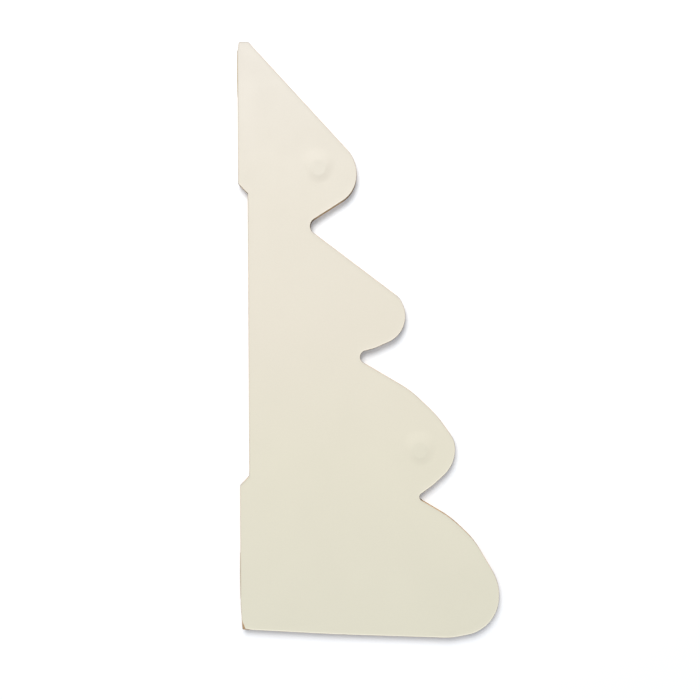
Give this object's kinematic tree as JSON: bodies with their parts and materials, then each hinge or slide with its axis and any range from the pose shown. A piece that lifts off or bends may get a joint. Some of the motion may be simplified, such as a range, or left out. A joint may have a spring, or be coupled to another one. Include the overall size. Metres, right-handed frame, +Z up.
{
  "type": "scoring board",
  "caption": "Flat half-tree shaped board in two leaves that fold shut like a book on spine strips and hold closed by hidden magnets; the inner faces carry grooves for scoring card.",
  "frame": {"origin": "centre of the closed board's footprint, on the table", "axes": "+X from the spine to the lobes, +Y along the spine to the tip, +Z up through the stack"},
  "size_m": [0.1324, 0.3049, 0.0061],
  "materials": {
    "cover_sheet": "satin laminated",
    "core_board": "cut fibreboard",
    "scoring_plate": "fine matt",
    "magnet_plating": "nickel plated",
    "keeper_steel": "zinc plated",
    "hinge_cloth": "woven book cloth"
  },
  "bodies": {
    "back_leaf": {"back_cover_sheet": "cover_sheet", "back_core_board": "core_board", "back_scoring_plate": "scoring_plate", "back_keeper_upper": "keeper_steel", "back_keeper_lower": "keeper_steel", "hinge_strip_upper": "hinge_cloth", "hinge_strip_lower": "hinge_cloth"},
    "front_leaf": {"front_scoring_plate": "scoring_plate", "front_core_board": "core_board", "front_cover_sheet": "cover_sheet", "front_magnet_upper": "magnet_plating", "front_magnet_lower": "magnet_plating"}
  },
  "joints": [
    {"name": "leaf_fold", "type": "hinge", "parent": "back_leaf", "child": "front_leaf", "pos_m": [-0.0659, 0, 0.00295], "axis": [0, -1, 0], "range_deg": [0, 180], "deforming": ["hinge_strip_upper", "hinge_strip_lower"]}
  ]
}
